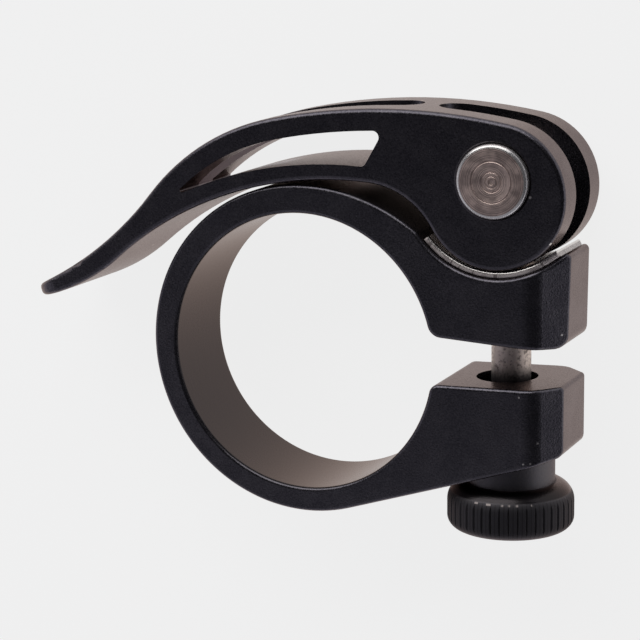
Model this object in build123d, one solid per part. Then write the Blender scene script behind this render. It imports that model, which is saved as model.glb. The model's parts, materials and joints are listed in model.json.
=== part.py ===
from build123d import *
import os
from math import cos, hypot, radians, sin, sqrt, tan

# Quick-release seatpost clamp, in millimetres.
# The bore runs along Z with its centre at the origin, the ears point to +X and the stud runs along Y,
# with the cam lever on the +Y ear and the adjusting nut under the -Y ear.

# Collar: a split ring with two ears
bore_diameter = 34.9
wall = 3.3                # mean wall of the ring
ring_shift_x = 0.1        # the ring's outside is set off towards the ears
ring_shift_y = 0.25       # and towards the lever
ear_gap = 5.3             # slit between the ears, on the stud's axis
slit_rise = 0.12          # the slit's middle above the bore's centre
slit_slope = 3.3          # the open slit's upper face falls outwards, in degrees
lower_slit_slope = 1.2    # and its lower face rises
stud_offset = 7.8         # bore wall to stud axis
upper_ear_reach = 8.85    # stud axis to the ears' ends
lower_ear_reach = 8.05
upper_end_lean = 1.3      # the upper ear's end leans in towards the slit, in degrees
ear_width = 15.2
ear_end_width = 7.2
side_flare = 1.2          # the ring draws in away from the ears, in degrees on each side
taper_reach = 5.05        # stud axis to where the ears start to narrow
taper_blend = 3.0
upper_flank_radius = 25.5  # from the ring's top to the cradle
cradle_root_angle = 55.5  # where the flank meets the cradle, in degrees from straight down
under_flank_angle = 17.6  # slope of the lower ear's underside
seat_thickness = 8.1      # lower ear between the gap and the nut's seat
collar_edge = 0.45
cradle_tip_round = 0.6
cradle_root_round = 0.8
upper_ear_round = 1.5
upper_slit_round = 1.8
lower_slit_round = 1.3
lower_ear_round = 0.5
under_ear_round = 1.2
upper_hole_clearance = 0.6
lower_hole_clearance = 1.38
lower_hole_shift = 0.5    # towards the bore, as the open ear sits

# Cam lever: forked end, side window, two rails and a paddle, drawn as tangent arcs
lever_inset = 0.15        # lever narrower than the ears, on each side
cam_radius = 8.9
cam_shift_x = 0.0         # cam centre from the pivot
cam_shift_y = -1.89
rest_gap = 0.28           # closed lever to ring
crown_start = 79.5        # where the crown leaves the cam circle, in degrees
crown_radius = 79.2
crown_sweep = 22.3
shoulder_radius = 29.6
shoulder_sweep = 38.3
flick_radius = 47.4
flick_sweep = 27.9
throat_start = 208.9      # where the throat leaves the cam circle, in degrees
throat_radius = 10.3
throat_sweep = 56.4
arch_radius = 47.3
arch_sweep = 45.1
under_flick_radius = 27.3
under_flick_sweep = 29.9
rail_depth = 2.65
bar_thickness = 1.95
window_floor_radius = 52.0
window_floor_sweep = 33.0
window_end = 17.0         # stud axis to the middle of the window's slanted end
window_end_slant = 30.0
window_end_round = 0.8
window_tip_round = 0.3
rail_slot_left = 43.2     # stud axis to the rail slot's far end
rail_slot_right = 11.4
rail_slot_tip = 8.0       # length of that end, which is drawn out
fork_depth = 9.2          # stud axis to the root of the fork
slot_clearance = 0.5
slot_floor_step = 0.4     # floor of the rail slot above the window's floor
lever_edge = 0.6
tip_trim = 0.4
tip_corner = 3.6
pivot_hole_chamfer = 0.25

# Pivot barrel and stud
barrel_diameter = 9.0
barrel_proud = 0.6
barrel_chamfer = 0.5
pivot_clearance = 0.05
stud_diameter = 4.9
stud_chamfer = 0.5
stud_recess = 0.6
thread_clearance = 0.05

# Saddle washer under the cam
washer_thickness = 0.8
washer_inset = 0.5        # washer narrower than the ears, on each side
washer_left = 50.0        # its ends, in degrees from straight down
washer_right = 40.0
washer_edge = 0.3
cam_clearance = 0.12
washer_seat_clearance = 0.04

# Adjusting nut: neck, domed shoulder and knurled rim
neck_diameter = 11.0
neck_clearance = 0.25
neck_length = 5.0
dome_height = 2.45        # shoulder from the rim's side up to the neck
rim_overhang = 0.3        # rim past the ears, on each side
nut_height = 6.0
nut_bottom_round = 1.6
nut_seat_clearance = 0.05
knurl_count = 44
knurl_depth = 0.18

# Places worked out from those sizes
bore_radius = bore_diameter / 2
ring_radius = bore_radius + wall
ring_centre = (ring_shift_x, ring_shift_y)
stud_x = bore_radius + stud_offset
upper_end_x = stud_x + upper_ear_reach
lower_end_x = stud_x + lower_ear_reach
stud_radius = stud_diameter / 2
barrel_radius = barrel_diameter / 2
slot_width = stud_diameter + 2 * slot_clearance
lever_width = ear_width - 2 * lever_inset
nut_diameter = ear_width + 2 * rim_overhang
slit_bottom = slit_rise - ear_gap / 2
seat_y = slit_bottom - seat_thickness
nut_top = seat_y - nut_seat_clearance
rim_top = nut_top - neck_length
nut_bottom = rim_top - nut_height
far = 4 * bore_diameter   # longer than anything in the clamp


def polar(centre, radius, angle):
    return (centre[0] + radius * cos(radians(angle)), centre[1] + radius * sin(radians(angle)))


# The closed lever's arch stops just above the ring, which sets the height of the pivot.
throat_end = throat_start - 180 + throat_sweep
arch_from_pivot = polar(
    polar((cam_shift_x, cam_shift_y), cam_radius + throat_radius, throat_start),
    throat_radius - arch_radius,
    throat_end,
)
arch_side = stud_x + arch_from_pivot[0] - ring_shift_x
arch_drop = sqrt((arch_radius - ring_radius - rest_gap) ** 2 - arch_side**2)
pivot_y = ring_shift_y - arch_drop - arch_from_pivot[1]
pivot = (stud_x, pivot_y)
cam_centre = (stud_x + cam_shift_x, pivot_y + cam_shift_y)
washer_inner = cam_radius + hypot(cam_shift_x, cam_shift_y) + cam_clearance
washer_outer = washer_inner + washer_thickness
cradle_radius = washer_outer + washer_seat_clearance


def along_stud(radius, low, high):
    """A cylinder on the stud's axis between two heights."""
    return Pos(stud_x, (low + high) / 2, 0) * Rot(X=90) * Cylinder(radius, high - low)


def corner(sketch, point):
    return sketch.vertices().sort_by_distance(point)[0]


def slit_top(x):
    """Height of the slit's sloping upper face."""
    return slit_rise + ear_gap / 2 - (x - stud_x) * tan(radians(slit_slope))


def slit_floor(x):
    """Height of the slit's sloping lower face."""
    return slit_bottom + (x - stud_x) * tan(radians(lower_slit_slope))


def crossing(centre_a, radius_a, centre_b, radius_b):
    """The point where two circles cross, on the right of the way from the first centre to the second."""
    way = centre_b - centre_a
    gap = way.length
    along = (radius_a**2 - radius_b**2 + gap**2) / (2 * gap)
    across = sqrt(radius_a**2 - along**2)
    way = way / gap
    return centre_a + way * along + Vector(way.Y, -way.X) * across


def ear_plan(inset):
    """The collar seen along the stud, drawn in by an inset."""
    side = ear_width / 2 - inset
    end = ear_end_width / 2 - inset
    back = side - far * tan(radians(side_flare))
    taper_x = stud_x + taper_reach
    plan = make_face(
        Polyline(
            (taper_x - far, -back), (taper_x, -side), (upper_end_x, -end),
            (upper_end_x, end), (taper_x, side), (taper_x - far, back), close=True,
        )
    )
    return fillet([corner(plan, (taper_x, side)), corner(plan, (taper_x, -side))], taper_blend)


def make_collar():
    ring_middle = Vector(*ring_centre)
    cradle_root = Vector(*polar(pivot, cradle_radius, 270 - cradle_root_angle))
    flank_centre = crossing(ring_middle, upper_flank_radius - ring_radius, cradle_root, upper_flank_radius)
    flank_touch = ring_middle + (ring_middle - flank_centre).normalized() * ring_radius
    flank_way = ((flank_touch + cradle_root) / 2 - flank_centre).normalized()
    flank_arc = ThreePointArc(flank_touch, flank_centre + flank_way * upper_flank_radius, cradle_root)
    under_touch = Vector(*polar(ring_centre, ring_radius, under_flank_angle - 90))
    under_run = Vector(*polar((0, 0), 1, under_flank_angle))
    under_end = under_touch + under_run * ((lower_end_x - under_touch.X) / under_run.X)
    flank = make_face([flank_arc, Polyline(cradle_root, ring_middle, flank_touch)])
    leant_end = (upper_end_x - pivot_y * tan(radians(upper_end_lean)), 0)
    upper_ear = make_face(
        Polyline(ring_centre, cradle_root, pivot, (upper_end_x, pivot_y), leant_end, close=True)
    )
    lower_ear = make_face(Polyline(ring_centre, under_touch, under_end, (lower_end_x, 0), close=True))
    slit_end = 2 * stud_x
    slit = make_face(
        Polyline(
            (0, slit_floor(0)), (slit_end, slit_floor(slit_end)),
            (slit_end, slit_top(slit_end)), (0, slit_top(0)), close=True,
        )
    )
    outline = Pos(*ring_centre) * Circle(ring_radius) + flank + upper_ear + lower_ear
    outline -= Circle(bore_radius)
    outline -= slit
    outline -= Pos(*pivot) * Circle(cradle_radius)

    # Corners of the outline: cradle, ear ends and slit
    cradle_tip = (upper_end_x, pivot_y - sqrt(cradle_radius**2 - upper_ear_reach**2))
    rounds = (
        (cradle_tip, cradle_tip_round),
        (cradle_root, cradle_root_round),
        ((upper_end_x, slit_top(upper_end_x)), upper_ear_round),
        ((bore_radius, slit_top(bore_radius)), upper_slit_round),
        ((bore_radius, slit_floor(bore_radius)), lower_slit_round),
        ((lower_end_x, slit_floor(lower_end_x)), lower_ear_round),
        (under_end, under_ear_round),
    )
    for point, radius in rounds:
        outline = fillet(corner(outline, point), radius)
    body = extrude(outline, ear_width, both=True)

    # Seen along the stud, the collar widens to the ears, which narrow towards their ends
    body &= extrude(Plane.XZ * ear_plan(0), far, both=True)

    creases = body.edges().filter_by(Axis.Y).filter_by(lambda e: e.center().X < lower_end_x - collar_edge)
    body = fillet(body.edges() - body.edges().filter_by(Axis.Z) - creases, collar_edge)

    # Stud holes and the nut's seat
    body -= along_stud(stud_radius + upper_hole_clearance, 0, pivot_y)
    body -= Pos(-lower_hole_shift, 0, 0) * along_stud(stud_radius + lower_hole_clearance, seat_y, 0)
    body -= along_stud(neck_diameter / 2 + neck_clearance, -far, seat_y)
    return body


def lever_top(depth):
    """Upper outline from the fork to the tip, at a depth below the lever's surface."""
    start = polar(cam_centre, cam_radius - depth, crown_start)
    crown = JernArc(start, polar((0, 0), 1, crown_start + 90), crown_radius - depth, crown_sweep)
    shoulder = JernArc(crown @ 1, crown % 1, shoulder_radius - depth, shoulder_sweep)
    flick = JernArc(shoulder @ 1, shoulder % 1, flick_radius + depth, -flick_sweep)
    return [crown, shoulder, flick]


def lever_under():
    """Lower outline from the cam to the tip."""
    start = polar(cam_centre, cam_radius, throat_start)
    throat = JernArc(start, polar((0, 0), 1, throat_start - 90), throat_radius, throat_sweep)
    arch = JernArc(throat @ 1, throat % 1, arch_radius, arch_sweep)
    flick = JernArc(arch @ 1, arch % 1, under_flick_radius, -under_flick_sweep)
    return [throat, arch, flick]


def window_floor(height):
    """Top of the bar from the throat to the left, at a height above the window's floor."""
    above = bar_thickness + height
    start = polar(cam_centre, cam_radius - above, throat_start)
    throat = JernArc(start, polar((0, 0), 1, throat_start - 90), throat_radius + above, throat_sweep)
    floor = JernArc(throat @ 1, throat % 1, window_floor_radius + height, window_floor_sweep)
    return [throat, floor]


def down_to_bore(edges):
    """The face between a chain of edges and the level of the bore's axis."""
    first = edges[0] @ 0
    last = edges[-1] @ 1
    return make_face(edges + [Polyline(last, (last.X, 0), (first.X, 0), first)])


def slot_along_stud(left, right, tip):
    """A slot seen along the stud, through the lever's whole height, with a left tip of a given length."""
    half = slot_width / 2
    start = left + tip
    stop = right - half
    slot = make_face(
        [
            EllipticalCenterArc((start, 0), tip, half, 90, arc_size=180),
            Line((start, -half), (stop, -half)),
            CenterArc((stop, 0), half, -90, 180),
            Line((stop, half), (start, half)),
        ]
    )
    return extrude(Plane.XZ * slot, far, both=True)


def make_lever():
    top = lever_top(0)
    under = lever_under()
    cam = CenterArc(cam_centre, cam_radius, throat_start, 360 + crown_start - throat_start)
    outline = make_face([cam, *top, Line(top[-1] @ 1, under[-1] @ 1), *under])
    body = extrude(outline, lever_width / 2, both=True)

    # Round-cornered end of the paddle, square to the blade
    tip = (top[-1] @ 1 + under[-1] @ 1) / 2
    blade = (top[-1] % 1 + under[-1] % 1).normalized()
    tip_plane = Plane(origin=tip - blade * tip_trim, x_dir=blade, z_dir=blade.cross(Vector(0, 0, 1)))
    end = Rectangle(far, lever_width, align=(Align.MAX, Align.CENTER))
    end = fillet(end.vertices().group_by(Axis.X)[-1], tip_corner)
    beyond = Pos(-tip_corner, 0) * Rectangle(far, far, align=(Align.MIN, Align.CENTER)) - end
    body -= extrude(tip_plane * beyond, lever_width, both=True)
    tip_edges = body.edges().filter_by(Axis.Z).sort_by(Axis.X)[:2]
    corner_seams = body.edges().filter_by(Axis((0, 0, 0), tip_plane.z_dir))
    outer = body.edges() - body.edges().filter_by(Axis.Z) - corner_seams + tip_edges
    body = fillet(outer, lever_edge)

    # Window through both sides, under the rails and above the bar
    under_rails = down_to_bore(lever_top(rail_depth)[:2])
    bar = down_to_bore(window_floor(0))
    end_line = Pos(stud_x - window_end, pivot_y) * Rot(Z=-window_end_slant)
    window = under_rails - bar
    window &= end_line * Rectangle(far, far, align=(Align.MAX, Align.CENTER))
    right_corners = window.vertices().sort_by(Axis.X)[-2:]
    window = fillet(right_corners, window_end_round)
    window = fillet(window.vertices().sort_by(Axis.X)[0], window_tip_round)
    body -= extrude(window, far, both=True)

    # Slot between the rails, down to the bar, and the fork's slot round the stud
    rail_slot = slot_along_stud(stud_x - rail_slot_left, stud_x - rail_slot_right, rail_slot_tip)
    body -= rail_slot - extrude(down_to_bore(window_floor(slot_floor_step)), far, both=True)
    body -= slot_along_stud(stud_x - fork_depth, far, slot_width / 2)

    # Cross hole for the pivot barrel
    hole_radius = barrel_radius + pivot_clearance
    body -= Pos(*pivot) * Cylinder(hole_radius, far)
    rims = body.edges().filter_by(GeomType.CIRCLE)
    rims = rims.filter_by(lambda e: abs(e.radius - hole_radius) < pivot_clearance / 2)
    return chamfer(rims.group_by(Axis.Z)[0] + rims.group_by(Axis.Z)[-1], pivot_hole_chamfer)


def make_barrel():
    barrel = Cylinder(barrel_radius, lever_width + 2 * barrel_proud)
    barrel = chamfer(barrel.edges().filter_by(GeomType.CIRCLE), barrel_chamfer)
    return Pos(*pivot) * barrel - along_stud(stud_radius + thread_clearance, -far, far)


def make_stud():
    stud = along_stud(stud_radius, nut_bottom + stud_recess, pivot_y + barrel_radius - stud_recess)
    return chamfer(stud.edges().filter_by(GeomType.CIRCLE), stud_chamfer)


def make_washer():
    start = 270 - washer_left
    sweep = washer_left + washer_right
    inner = CenterArc(pivot, washer_inner, start, sweep)
    outer = CenterArc(pivot, washer_outer, start, sweep)
    strip = make_face([inner, Line(inner @ 1, outer @ 1), outer, Line(outer @ 0, inner @ 0)])
    washer = extrude(strip, ear_width, both=True) & extrude(Plane.XZ * ear_plan(washer_inset), far, both=True)
    washer = fillet(washer.edges().filter_by(lambda e: abs(e.center().Z) > washer_inset), washer_edge)
    return washer - along_stud(stud_radius + upper_hole_clearance, 0, pivot_y)


def make_nut():
    neck = neck_diameter / 2
    rim = nut_diameter / 2
    hole = stud_radius + thread_clearance
    dome_foot = rim_top - dome_height
    section = make_face(
        [
            Polyline(
                (neck, rim_top), (neck, nut_top), (hole, nut_top),
                (hole, nut_bottom), (rim, nut_bottom), (rim, dome_foot),
            ),
            TangentArc((rim, dome_foot), (neck, rim_top), tangent=(0, 1)),
        ]
    )
    section = fillet(corner(section, (rim, nut_bottom)), nut_bottom_round)
    nut = revolve(section, Axis.Y)

    # Straight knurling round the rim
    notch = Pos(rim, 0) * Rot(Z=45) * Rectangle(sqrt(2) * knurl_depth, sqrt(2) * knurl_depth)
    notch = Rot(X=90) * extrude(notch, far)
    notch = Pos(0, rim_top, 0) * notch
    nut -= [Rot(Y=360 * k / knurl_count) * notch for k in range(knurl_count)]
    return Pos(stud_x, 0, 0) * nut


pieces = {
    "clamp_collar": make_collar(),
    "cradle_washer": make_washer(),
    "cam_lever": make_lever(),
    "pivot_barrel": make_barrel(),
    "clamp_stud": make_stud(),
    "adjusting_nut": make_nut(),
}
os.makedirs("parts", exist_ok=True)
for name, piece in pieces.items():
    export_step(piece, f"parts/{name}.step")
print(f"pivot at {stud_x:.3f}, {pivot_y:.3f}; cradle radius {cradle_radius:.3f}")
print(f"seat at {seat_y:.2f}; rim {rim_top:.2f} to {nut_bottom:.2f}")
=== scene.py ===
import json
from math import radians, tau

import bpy
from mathutils import Matrix, Vector


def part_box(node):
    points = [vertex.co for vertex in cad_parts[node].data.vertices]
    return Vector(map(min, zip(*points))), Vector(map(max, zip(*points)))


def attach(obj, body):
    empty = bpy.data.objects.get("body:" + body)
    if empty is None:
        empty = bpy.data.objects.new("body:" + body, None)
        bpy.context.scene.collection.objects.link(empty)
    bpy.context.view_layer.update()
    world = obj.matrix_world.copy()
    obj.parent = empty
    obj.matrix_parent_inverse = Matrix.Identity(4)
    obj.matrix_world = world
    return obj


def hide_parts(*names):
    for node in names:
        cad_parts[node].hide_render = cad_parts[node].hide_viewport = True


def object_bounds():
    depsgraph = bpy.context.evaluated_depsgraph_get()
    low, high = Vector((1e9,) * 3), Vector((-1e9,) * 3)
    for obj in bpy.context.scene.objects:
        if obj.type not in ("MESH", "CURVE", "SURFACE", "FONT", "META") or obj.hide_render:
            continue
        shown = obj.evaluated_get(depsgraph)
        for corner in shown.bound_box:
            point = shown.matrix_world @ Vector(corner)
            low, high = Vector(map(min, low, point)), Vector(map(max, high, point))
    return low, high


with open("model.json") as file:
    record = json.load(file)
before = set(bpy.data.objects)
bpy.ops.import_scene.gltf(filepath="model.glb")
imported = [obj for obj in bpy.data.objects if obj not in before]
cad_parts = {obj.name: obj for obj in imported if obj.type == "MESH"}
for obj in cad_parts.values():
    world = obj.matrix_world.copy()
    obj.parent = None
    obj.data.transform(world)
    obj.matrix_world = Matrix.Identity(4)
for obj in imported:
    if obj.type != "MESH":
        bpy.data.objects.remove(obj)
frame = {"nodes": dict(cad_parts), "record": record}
cad_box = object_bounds()

# Clamp collar: the split ring with its two ears, machined from an aluminium bar.
# It is bead-blasted and dyed black, and the bore is bored smooth to grip the seat tube.
mm = 0.001
blast_black = (0.072, 0.068, 0.080, 1)
blast_worn = (0.128, 0.120, 0.133, 1)
# Painted shade for the throat under the closed lever
throat_painted_shade = (0.018, 0.016, 0.018, 1)
bore_black = (0.044, 0.040, 0.042, 1)
bare_metal = (0.70, 0.66, 0.63, 1)
dye_tint = (1.0, 0.86, 0.80, 1)
# Bead blasting: pits and fine grain, clouds in the dye and scattered nicks
blast_grain = 5200
blast_depth = 0.022 * mm
fine_share = 0.5
fine_detail = 3
grain_span = (0.38, 0.62)
grain_share = 0.6
cloud_scale = 260
cloud_detail = 4
cloud_span = (0.35, 0.70)
nick_cells = 400
nick_size = (0.05, 0.09)
nick_rarity = (0.82, 0.86)
pit_span = (0.2, 0.8)
satin = (0.26, 0.38)
# Nicks by the edges of the ears
nick_places = ((30.9, -8.9), (29.3, -11.5), (30.1, -11.4), (28.7, -3.3), (33.1, 4.1))
nick_radius = 0.16 * mm
# The bore, and the throat between the ring and the closed lever, where shade is painted near black
bore_edge = (0.05 * mm, 0.25 * mm)
bore_stretch = (0.12, 0.12, 1)
bore_scratch = 3600
scratch_detail = 2
scratch_share = 0.25
bore_gloss = 0.24
throat_left = (5 * mm, 9 * mm)
throat_right = (23 * mm, 24 * mm)
throat_bottom = (13 * mm, 14 * mm)
throat_half = (6.8 * mm, 7.1 * mm)
throat_dull = 0.75


def named(rows, name):
    return next(row for row in rows if row["name"] == name)


def plug(tree, socket, value):
    """Feeds a socket from another one, or gives it a value."""
    if isinstance(value, bpy.types.NodeSocket):
        tree.links.new(value, socket)
    else:
        socket.default_value = value


def node(tree, kind, inputs=None, **settings):
    made = tree.nodes.new("ShaderNode" + kind)
    for name, value in settings.items():
        setattr(made, name, value)
    for name, value in (inputs or {}).items():
        plug(tree, made.inputs[name], value)
    return made


def calculate(tree, operation, first, second=0.0):
    return node(tree, "Math", {0: first, 1: second}, operation=operation).outputs[0]


def product(tree, first, *others):
    for other in others:
        first = calculate(tree, "MULTIPLY", first, other)
    return first


def ramp(tree, value, low, high, to_low=0.0, to_high=1.0):
    """value from low to high, spread smoothly between two results."""
    spread = {"Value": value, "From Min": low, "From Max": high, "To Min": to_low, "To Max": to_high}
    return node(tree, "MapRange", spread, interpolation_type="SMOOTHSTEP").outputs["Result"]


def fade(tree, value, low, high):
    return ramp(tree, value, low, high, 1.0, 0.0)


def blend(tree, share, first, second):
    mixed = node(tree, "Mix", {"Factor": share, "A": first, "B": second}, data_type="FLOAT")
    return mixed.outputs["Result"]


def tint(tree, share, first, second):
    """A colour between two others; the Mix node's colour sockets are reached by number."""
    share_socket, first_socket, second_socket, result_socket = 0, 6, 7, 2
    inputs = {share_socket: share, first_socket: first, second_socket: second}
    return node(tree, "Mix", inputs, data_type="RGBA").outputs[result_socket]


def noise(tree, vector, scale, detail):
    return node(tree, "TexNoise", {"Vector": vector, "Scale": scale, "Detail": detail}).outputs["Fac"]


def stretch(tree, vector, scale):
    return node(tree, "Mapping", {"Vector": vector, "Scale": scale}).outputs["Vector"]


def length(tree, vector):
    return node(tree, "VectorMath", {0: vector}, operation="LENGTH").outputs["Value"]


def distance(tree, vector, point):
    return node(tree, "VectorMath", {0: vector, 1: point}, operation="DISTANCE").outputs["Value"]


def separate(tree, vector):
    return node(tree, "SeparateXYZ", {"Vector": vector}).outputs


def new_group(name, inputs, outputs):
    """An empty node group with its sockets, and the sockets inside it."""
    tree = bpy.data.node_groups.new(name, "ShaderNodeTree")
    for socket, kind in inputs.items():
        tree.interface.new_socket(socket, in_out="INPUT", socket_type="NodeSocket" + kind)
    for socket in outputs:
        tree.interface.new_socket(socket, in_out="OUTPUT", socket_type="NodeSocketFloat")
    source = tree.nodes.new("NodeGroupInput")
    target = tree.nodes.new("NodeGroupOutput")
    return tree, source.outputs, target.inputs


def make_blast_group():
    """Peened pits of a bead-blasted face, the grain and clouds of its dye, and a few bare nicks."""
    tree, given, result = new_group(
        "blasted_face", {"Vector": "Vector", "Grain": "Float"}, ("Height", "Cloud", "Nicks")
    )
    where = given["Vector"]
    pits = node(tree, "TexVoronoi", {"Vector": where, "Scale": given["Grain"]}, feature="SMOOTH_F1")
    fine = noise(tree, where, given["Grain"], fine_detail)
    plug(tree, result["Height"], blend(tree, fine_share, pits.outputs["Distance"], fine))
    cloud = ramp(tree, noise(tree, where, cloud_scale, cloud_detail), *cloud_span)
    plug(tree, result["Cloud"], blend(tree, grain_share, cloud, ramp(tree, fine, *grain_span)))
    spots = node(tree, "TexVoronoi", {"Vector": where, "Scale": nick_cells}).outputs
    near = fade(tree, spots["Distance"], *nick_size)
    chosen = node(tree, "SeparateColor", {"Color": spots["Color"]}).outputs["Red"]
    plug(tree, result["Nicks"], product(tree, near, ramp(tree, chosen, *nick_rarity)))
    return tree


blasted_face = make_blast_group()


def use_blast(tree, where, grain):
    made = node(tree, "Group", node_tree=blasted_face)
    plug(tree, made.inputs["Vector"], where)
    plug(tree, made.inputs["Grain"], grain)
    return made.outputs


def new_material(name, centre=(0, 0, 0)):
    """A material, its shader and the object coordinates moved to a centre."""
    material = bpy.data.materials.new(name)
    material.use_nodes = True
    tree = material.node_tree
    shader = tree.nodes["Principled BSDF"]
    place = node(tree, "TexCoord").outputs["Object"]
    where = node(tree, "Mapping", {"Vector": place, "Location": centre}, vector_type="TEXTURE")
    return material, tree, shader, where.outputs["Vector"]


def feed(tree, shader, color, roughness, height, depth):
    """Colour, roughness and a bump of that depth into the shader."""
    plug(tree, shader.inputs["Base Color"], color)
    plug(tree, shader.inputs["Roughness"], roughness)
    bump = node(tree, "Bump", {"Height": height, "Distance": depth, "Strength": 1.0})
    plug(tree, shader.inputs["Normal"], bump.outputs["Normal"])


def dress(piece, material):
    piece.data.materials.clear()
    piece.data.materials.append(material)


def make_collar_finish():
    material, tree, shader, where = new_material("collar_finish")
    shader.inputs["Metallic"].default_value = 1
    shader.inputs["Specular Tint"].default_value = dye_tint
    blast = use_blast(tree, where, blast_grain)
    place = separate(tree, where)
    flat = stretch(tree, where, (1, 1, 0))
    nicks = blast["Nicks"]
    for x, y in nick_places:
        knock = fade(tree, distance(tree, flat, (x * mm, y * mm, 0)), 0.5 * nick_radius, nick_radius)
        knock = product(tree, knock, ramp(tree, place["Z"], 0, mm))
        nicks = calculate(tree, "MAXIMUM", nicks, knock)
    dyed = tint(tree, blast["Cloud"], blast_black, blast_worn)
    dyed = tint(tree, nicks, dyed, bare_metal)
    bore_radius = named(frame["record"]["mounts"], "seat_tube_clamp")["dims"]["r_mm"] * mm
    outside = ramp(tree, length(tree, flat), bore_radius + bore_edge[0], bore_radius + bore_edge[1])
    # Painted shade: the throat's face under the closed lever is painted near black and dulled.
    throat = product(
        tree, fade(tree, calculate(tree, "ABSOLUTE", place["Z"]), *throat_half),
        ramp(tree, place["X"], *throat_left), fade(tree, place["X"], *throat_right),
        ramp(tree, place["Y"], *throat_bottom), outside,
    )
    color = tint(tree, outside, bore_black, dyed)
    color = tint(tree, throat, color, throat_painted_shade)
    roughness = blend(tree, outside, bore_gloss, ramp(tree, blast["Height"], *pit_span, *satin))
    roughness = blend(tree, throat, roughness, throat_dull)
    scratch = noise(tree, stretch(tree, where, bore_stretch), bore_scratch, scratch_detail)
    height = blend(tree, outside, product(tree, scratch, scratch_share), blast["Height"])
    feed(tree, shader, color, roughness, height, blast_depth)
    return material


dress(frame["nodes"]["clamp_collar"], make_collar_finish())

# Cradle washer: a thin saddle bent from bright stainless strip, pressed into the round cradle.
# Its ends are sheared, and the cam turns on it when the lever closes.
stud_x, pivot_y = named(frame["record"]["behaviour"]["joints"], "lever_swing")["pos_m"][:2]
pivot = (stud_x, pivot_y, 0)
washer_bright = (0.69, 0.62, 0.59, 1)
washer_dull = (0.50, 0.44, 0.42, 1)
washer_polished = (0.74, 0.70, 0.67, 1)
washer_tick = (0.28, 0.24, 0.23, 1)
washer_radius = 10.91 * mm
polish_edge = (0.18 * mm, 0.32 * mm)
edge_metallic = 0.3
tick_rate = 12
tick_detail = 1
tick_span = (0.65, 0.70)
rolled_stretch = (0.15, 0.15, 1)
rolled_scale = 5200
rolled_detail = 3
rolled_span = (0.3, 0.7)
rolled_gloss = (0.22, 0.38)
rolled_depth = 0.006 * mm
washer_stain_scale = 900
washer_stain_detail = 4
washer_stain_span = (0.45, 0.70)


def noise_along(tree, value, scale, detail):
    """Noise along one measure, such as an angle or a radius."""
    inputs = {"W": value, "Scale": scale, "Detail": detail}
    return node(tree, "TexNoise", inputs, noise_dimensions="1D").outputs["Fac"]


def make_washer_finish():
    material, tree, shader, where = new_material("washer_finish", pivot)
    stain = noise(tree, where, washer_stain_scale, washer_stain_detail)
    color = tint(tree, ramp(tree, stain, *washer_stain_span), washer_bright, washer_dull)
    place = separate(tree, where)
    angle = calculate(tree, "ARCTAN2", place["Y"], place["X"])
    ticks = noise_along(tree, product(tree, angle, tick_rate), 1, tick_detail)
    color = tint(tree, ramp(tree, ticks, *tick_span), color, washer_tick)
    radius = length(tree, stretch(tree, where, (1, 1, 0)))
    polish = fade(tree, radius, washer_radius + polish_edge[0], washer_radius + polish_edge[1])
    color = tint(tree, polish, color, washer_polished)
    plug(tree, shader.inputs["Metallic"], blend(tree, polish, edge_metallic, 1.0))
    streak = noise(tree, stretch(tree, where, rolled_stretch), rolled_scale, rolled_detail)
    feed(tree, shader, color, ramp(tree, streak, *rolled_span, *rolled_gloss), streak, rolled_depth)
    return material


dress(frame["nodes"]["cradle_washer"], make_washer_finish())

# Pivot barrel: a cross pin turned from steel bar, faced at both ends and tapped across for the stud.
# It sits in the lever's fork with a close running fit.
barrel_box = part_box("pivot_barrel")
barrel_radius = (barrel_box[1].x - barrel_box[0].x) / 2
barrel_half = (barrel_box[1].z - barrel_box[0].z) / 2
barrel_round = 0.5 * mm
barrel_sides = 144
round_steps = 5
bore_sides = 64
thread_gap = 0.05 * mm
smooth_angle = radians(30)
# Rings of the turned end faces: radius and depth in millimetres
face_rings = (
    (2.60, 0.0), (2.53, 0.05), (2.44, 0.05), (2.36, -0.02), (2.26, 0.0), (1.32, 0.0),
    (1.25, 0.06), (1.17, 0.06), (1.10, 0.0), (0.82, 0.0), (0.76, 0.06), (0.69, 0.06),
    (0.62, 0.0), (0.40, 0.0), (0.32, 0.10), (0.14, 0.16),
)
barrel_pale = (0.70, 0.55, 0.49, 1)
barrel_dark = (0.31, 0.24, 0.22, 1)
barrel_bright = (0.72, 0.70, 0.68, 1)
barrel_metallic = 0.8
turning_marks = 9000
turning_detail = 3
turning_depth = 0.02 * mm
barrel_stain_scale = 700
barrel_stain_detail = 5
barrel_stain_share = 0.45
barrel_span = (0.38, 0.62)
barrel_rim = (barrel_radius - barrel_round, barrel_radius - 0.8 * barrel_round)
barrel_rim_gloss = 0.22
barrel_gloss_span = (0.3, 0.7)
barrel_gloss = (0.36, 0.50)


def deselect_all():
    bpy.ops.object.select_all(action="DESELECT")


def select_only(piece):
    deselect_all()
    piece.select_set(True)
    bpy.context.view_layer.objects.active = piece


def select_end(barrel, side):
    """In edit mode, selects only the round end face on one side."""
    bpy.ops.mesh.select_mode(type="FACE")
    bpy.ops.mesh.select_all(action="DESELECT")
    bpy.ops.object.mode_set(mode="OBJECT")
    for face in barrel.data.polygons:
        face.select = len(face.vertices) == barrel_sides and face.normal.z * side > 0
    bpy.ops.object.mode_set(mode="EDIT")


def name_piece(name):
    piece = bpy.context.active_object
    piece.name = name
    piece.data.name = name
    return piece


def settle(piece):
    """Puts the place into the mesh, with smooth faces and sharp corners."""
    select_only(piece)
    bpy.ops.object.transform_apply(location=True, rotation=True, scale=True)
    bpy.ops.object.shade_smooth_by_angle(angle=smooth_angle)


def apply_cut(piece, cutter):
    """Cuts one piece out of another and removes the cutter."""
    select_only(piece)
    cut = piece.modifiers.new("cut", "BOOLEAN")
    cut.object = cutter
    cut.solver = "EXACT"
    bpy.ops.object.modifier_apply(modifier=cut.name)
    bpy.data.objects.remove(cutter)


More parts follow.
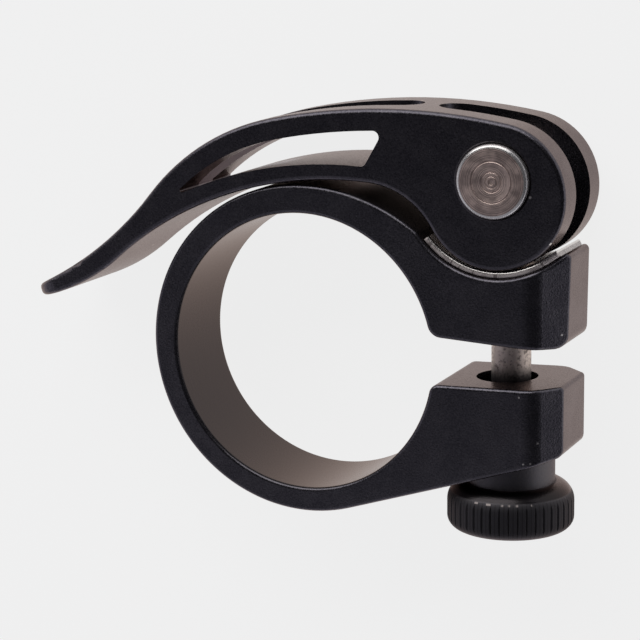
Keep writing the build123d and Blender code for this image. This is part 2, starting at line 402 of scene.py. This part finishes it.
def make_barrel():
    deselect_all()
    bpy.ops.mesh.primitive_cylinder_add(
        vertices=barrel_sides, radius=barrel_radius, depth=2 * barrel_half, location=pivot
    )
    barrel = name_piece("turned_barrel")
    bpy.ops.object.mode_set(mode="EDIT")
    for side in (1, -1):
        select_end(barrel, side)
        bpy.ops.mesh.region_to_loop()
        bpy.ops.mesh.bevel(offset=barrel_round, segments=round_steps)
        select_end(barrel, side)
        radius = barrel_radius - barrel_round
        depth = 0
        for ring, sunk in face_rings:
            bpy.ops.mesh.inset(thickness=radius - ring * mm)
            bpy.ops.transform.translate(value=(0, 0, side * (depth - sunk) * mm))
            radius = ring * mm
            depth = sunk
    bpy.ops.object.mode_set(mode="OBJECT")
    deselect_all()
    stud_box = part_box("clamp_stud")
    hole_radius = (stud_box[1].x - stud_box[0].x) / 2 + thread_gap
    bpy.ops.mesh.primitive_cylinder_add(
        vertices=bore_sides, radius=hole_radius, depth=4 * barrel_radius,
        location=pivot, rotation=(radians(90), 0, 0),
    )
    apply_cut(barrel, bpy.context.active_object)
    settle(barrel)
    return barrel


def make_barrel_finish():
    material, tree, shader, where = new_material("barrel_finish", pivot)
    shader.inputs["Metallic"].default_value = barrel_metallic
    radius = length(tree, stretch(tree, where, (1, 1, 0)))
    rings = noise_along(tree, product(tree, radius, turning_marks), 1, turning_detail)
    stain = noise(tree, where, barrel_stain_scale, barrel_stain_detail)
    share = blend(tree, barrel_stain_share, rings, stain)
    color = tint(tree, ramp(tree, share, *barrel_span), barrel_dark, barrel_pale)
    rim = ramp(tree, radius, *barrel_rim)
    color = tint(tree, rim, color, barrel_bright)
    roughness = ramp(tree, stain, *barrel_gloss_span, *barrel_gloss)
    roughness = blend(tree, rim, roughness, barrel_rim_gloss)
    feed(tree, shader, color, roughness, rings, turning_depth)
    return material


turned_barrel = make_barrel()
dress(turned_barrel, make_barrel_finish())
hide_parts("pivot_barrel")
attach(turned_barrel, "stud")

# Clamp stud: a plated steel rod, screwed into the barrel at the top and into the nut at the bottom.
# Its shank between the two ears is plain, and it is painted darker towards its lower end, where it enters
# the lower ear.
stud_pale = (0.97, 0.84, 0.76, 1)
stud_dark = (0.40, 0.33, 0.30, 1)
# Painted darker towards the stud's lower end
stud_lower_dark = (0.08, 0.07, 0.07, 1)
drawn_stretch = (1, 0.25, 1)
drawn_scale = 1500
drawn_detail = 4
mottle_scale = 2600
mottle_detail = 3
mottle_share = 0.5
mottle_span = (0.3, 0.7)
mottle_gloss = (0.55, 0.70)
mottle_depth = 0.01 * mm
stud_span = (0.50, 0.66)
lower_dark_span = (-1.8 * mm, 0.3 * mm)
lower_dark_ragged = 1.5 * mm


def make_stud_finish():
    material, tree, shader, where = new_material("stud_finish", (stud_x, 0, 0))
    shader.inputs["Metallic"].default_value = 1
    streak = noise(tree, stretch(tree, where, drawn_stretch), drawn_scale, drawn_detail)
    mottle = noise(tree, where, mottle_scale, mottle_detail)
    share = blend(tree, mottle_share, streak, mottle)
    color = tint(tree, ramp(tree, share, *stud_span), stud_pale, stud_dark)
    edge = calculate(tree, "ADD", separate(tree, where)["Y"], product(tree, mottle, lower_dark_ragged))
    # The stud is painted darker towards its lower end, with a ragged edge.
    color = tint(tree, fade(tree, edge, *lower_dark_span), color, stud_lower_dark)
    feed(tree, shader, color, ramp(tree, mottle, *mottle_span, *mottle_gloss), mottle, mottle_depth)
    return material


dress(frame["nodes"]["clamp_stud"], make_stud_finish())

# Cam lever: forged and milled aluminium, forked round the stud, with a window between its rails and bar.
# It is bead-blasted and dyed black like the collar, with paler light painted where the slot between the
# rails ends.
lever_black = (0.067, 0.063, 0.075, 1)
lever_worn = (0.119, 0.111, 0.123, 1)
# Painted light for the slot's end, where light falls through the slot
slot_painted_light = (0.33, 0.27, 0.275, 1)
slot_light_metallic = 0.2
# The slot's end is half an ellipse; these places are taken from the pivot
slot_half = 2.95 * mm
slot_tip = 8.0 * mm
slot_tip_x = -35.2 * mm
slot_margin = (1.02, 1.05)
slot_light_right = (-30.0 * mm, -28.0 * mm)
arch_centre = (-19.85 * mm, -48.05 * mm, 0)
bar_middle = (48.2 * mm, 48.6 * mm)


def make_lever_finish():
    material, tree, shader, where = new_material("lever_finish", pivot)
    shader.inputs["Specular Tint"].default_value = dye_tint
    blast = use_blast(tree, where, blast_grain)
    dyed = tint(tree, blast["Cloud"], lever_black, lever_worn)
    dyed = tint(tree, blast["Nicks"], dyed, bare_metal)
    place = separate(tree, where)
    past_tip = calculate(tree, "MINIMUM", calculate(tree, "SUBTRACT", place["X"], slot_tip_x), 0)
    along = calculate(tree, "DIVIDE", past_tip, slot_tip)
    across = calculate(tree, "DIVIDE", place["Z"], slot_half)
    reach = length(tree, node(tree, "CombineXYZ", {"X": along, "Z": across}).outputs["Vector"])
    from_arch = distance(tree, stretch(tree, where, (1, 1, 0)), arch_centre)
    # Painted light: the lever is painted pale and less metallic where the slot between the rails ends.
    slot_light = product(
        tree, fade(tree, reach, *slot_margin), ramp(tree, from_arch, *bar_middle),
        fade(tree, place["X"], *slot_light_right),
    )
    plug(tree, shader.inputs["Metallic"], blend(tree, slot_light, 1.0, slot_light_metallic))
    roughness = ramp(tree, blast["Height"], *pit_span, *satin)
    feed(tree, shader, tint(tree, slot_light, dyed, slot_painted_light), roughness, blast["Height"], blast_depth)
    return material


dress(frame["nodes"]["cam_lever"], make_lever_finish())

# Adjusting nut: turned aluminium with a neck that seats in the lower ear and a straight-knurled rim.
# It is dyed black after turning, and the knurl's upper edge is chipped bare where tools have met it; more
# pale chips on its near side are a painted highlight.
nut_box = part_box("adjusting_nut")
nut_radius = (nut_box[1].x - nut_box[0].x) / 2
knurl_top = nut_box[0].y + 4.7 * mm
knurl_fade = 0.3 * mm
knurl_lines = 88
knurl_share = 0.16
knurl_strength = 0.7
rim_reach = (0.9 * nut_radius, nut_radius)
neck_radius = 5.5 * mm
dome_edge = (0.05 * mm, 0.30 * mm)
nut_black = (0.125, 0.119, 0.130, 1)
nut_worn = (0.155, 0.143, 0.146, 1)
rim_black = (0.062, 0.059, 0.064, 1)
# Painted shade for the dome under the ear and the knurl's grooves
painted_shade_black = (0.030, 0.027, 0.028, 1)
chip_and_highlight_metal = (0.46, 0.41, 0.39, 1)
nut_tint = (1.0, 0.86, 0.82, 1)
nut_grain = 6000
nut_gloss = (0.50, 0.60)
dome_gloss = 0.28
rim_dull = 0.70
highlight_middle = radians(82)
highlight_reach = (radians(18), radians(30))
highlight_more = 0.14
chip_scale = 0.6
chip_detail = 2
chip_span = (0.64, 0.74)
chip_height = (0.05 * mm, 0.16 * mm)


def make_nut_finish():
    material, tree, shader, where = new_material("nut_finish", (stud_x, knurl_top, 0))
    shader.inputs["Metallic"].default_value = 1
    shader.inputs["Specular Tint"].default_value = nut_tint
    blast = use_blast(tree, where, nut_grain)
    radius = length(tree, stretch(tree, where, (1, 0, 1)))
    place = separate(tree, where)
    above = ramp(tree, place["Y"], 0, knurl_fade)
    below = fade(tree, place["Y"], 0, knurl_fade)
    shaded_dome = product(tree, above, ramp(tree, radius, neck_radius + dome_edge[0], neck_radius + dome_edge[1]))
    rim = product(tree, below, ramp(tree, radius, *rim_reach))
    angle = calculate(tree, "ARCTAN2", place["Z"], place["X"])
    turn = product(tree, angle, knurl_lines / tau)
    tooth = calculate(tree, "PINGPONG", turn, 0.5)
    knurl_groove_shade = product(tree, ramp(tree, tooth, 0, knurl_share, knurl_strength, 0), rim)
    color = tint(tree, blast["Cloud"], nut_black, nut_worn)
    color = tint(tree, rim, color, rim_black)
    # Painted shade: the dome under the ear and thin lines in the knurl's grooves are painted near black.
    color = tint(tree, calculate(tree, "MAXIMUM", shaded_dome, knurl_groove_shade), color, painted_shade_black)
    # Chipped wear all round the knurl's upper edge, with more pale chips on the near side as a painted
    # highlight.
    from_chips = calculate(tree, "ABSOLUTE", calculate(tree, "SUBTRACT", angle, highlight_middle))
    front_highlight = ramp(tree, from_chips, *highlight_reach, highlight_more, 0)
    chips_and_highlight = calculate(tree, "ADD", noise_along(tree, turn, chip_scale, chip_detail), front_highlight)
    at_edge = fade(tree, calculate(tree, "ABSOLUTE", place["Y"]), *chip_height)
    color = tint(tree, product(tree, at_edge, ramp(tree, chips_and_highlight, *chip_span)), color, chip_and_highlight_metal)
    roughness = blend(tree, shaded_dome, ramp(tree, blast["Height"], *pit_span, *nut_gloss), dome_gloss)
    roughness = blend(tree, rim, roughness, rim_dull)
    feed(tree, shader, color, roughness, blast["Height"], blast_depth)
    return material


dress(frame["nodes"]["adjusting_nut"], make_nut_finish())

# Floor: a plain pale sweep under the clamp, which lies on its side.
# The camera and the reflections see it evenly lit, with the clamp's soft shadow.
floor_pale = (0.855, 0.855, 0.855, 1)
floor_half = 2.0
floor_roughness = 0.9
even_share = 0.88
even_level = 1.10


def make_floor_finish():
    material = bpy.data.materials.new("floor_finish")
    material.use_nodes = True
    tree = material.node_tree
    shader = tree.nodes["Principled BSDF"]
    shader.inputs["Base Color"].default_value = floor_pale
    shader.inputs["Roughness"].default_value = floor_roughness
    shader.inputs["Specular IOR Level"].default_value = 0.0
    paths = node(tree, "LightPath").outputs
    seen = calculate(tree, "MAXIMUM", paths["Is Camera Ray"], paths["Is Glossy Ray"])
    even = node(tree, "Emission", {"Color": floor_pale, "Strength": even_level}).outputs["Emission"]
    share = product(tree, seen, even_share)
    mixed = node(tree, "MixShader", {0: share, 1: shader.outputs["BSDF"], 2: even})
    plug(tree, tree.nodes["Material Output"].inputs["Surface"], mixed.outputs["Shader"])
    return material


deselect_all()
bpy.ops.mesh.primitive_plane_add(size=2 * floor_half, location=(0, 0, cad_box[0].z))
floor = name_piece("floor")
dress(floor, make_floor_finish())

# Light: a soft studio, pale round the horizon and dim overhead, with one large lamp past the lever.
# Two soft patches of sky, in front and on the left, brighten what the near faces and the stud mirror.
horizon = 0.95
sides = 0.045
overhead_share = 0.40
horizon_band = (0.03, 0.24)
overhead_band = (0.80, 0.97)
# Each patch: its direction, how near to it the patch begins and is full, and its level
patches = (
    ((-0.20, -0.85, 0.49), (0.60, 0.86), 0.24),
    ((-0.87, -0.20, 0.45), (0.88, 0.97), 0.40),
)
sky_tint = (0.98, 0.98, 1.10, 1)
key_place = (-0.25, 0.75, 0.42)
key_size = (1.2, 0.6)
key_power = 5.6


def make_studio_light():
    world = bpy.data.worlds.new("studio")
    bpy.context.scene.world = world
    world.use_nodes = True
    tree = world.node_tree
    way = node(tree, "TexCoord").outputs["Generated"]
    height = separate(tree, way)["Z"]
    level = ramp(tree, height, *horizon_band, horizon, sides)
    level = product(tree, level, ramp(tree, height, *overhead_band, 1.0, overhead_share))
    for patch_way, spread, patch_level in patches:
        facing = node(tree, "VectorMath", {0: way, 1: patch_way}, operation="DOT_PRODUCT").outputs["Value"]
        level = calculate(tree, "ADD", level, ramp(tree, facing, *spread, 0.0, patch_level))
    seen = blend(tree, node(tree, "LightPath").outputs["Is Camera Ray"], level, floor_pale[0])
    sky = tree.nodes["Background"]
    plug(tree, sky.inputs["Strength"], seen)
    sky.inputs["Color"].default_value = sky_tint


def add_key_lamp():
    lamp = bpy.data.lights.new("key_lamp", "AREA")
    lamp.shape = "RECTANGLE"
    lamp.size = key_size[0]
    lamp.size_y = key_size[1]
    lamp.energy = key_power
    holder = bpy.data.objects.new("key_lamp", lamp)
    bpy.context.scene.collection.objects.link(holder)
    holder.location = key_place
    holder.rotation_euler = (-Vector(key_place)).to_track_quat("-Z", "Y").to_euler()


make_studio_light()
add_key_lamp()

# Camera: above the clamp and to the lever's right, as the picture was taken.
# Its directions are those at which the solids lie over the picture.
camera_place = (0.10813, 0.05885, 0.25187)
camera_right = (0.9194, -0.0124, -0.3931)
camera_up = (-0.0677, 0.9796, -0.1891)
camera_back = (0.3874, 0.2005, 0.8998)
focal_length = 123.75
sensor_width = 36.0
nearest_seen = 0.01
camera = bpy.data.objects.new("camera", bpy.data.cameras.new("camera"))
bpy.context.scene.collection.objects.link(camera)
camera.data.lens = focal_length
camera.data.sensor_width = sensor_width
camera.data.clip_start = nearest_seen
turned = Matrix((camera_right, camera_up, camera_back)).transposed()
camera.matrix_world = Matrix.Translation(camera_place) @ turned.to_4x4()
bpy.context.scene.camera = camera
bpy.context.scene.view_settings.view_transform = "Standard"
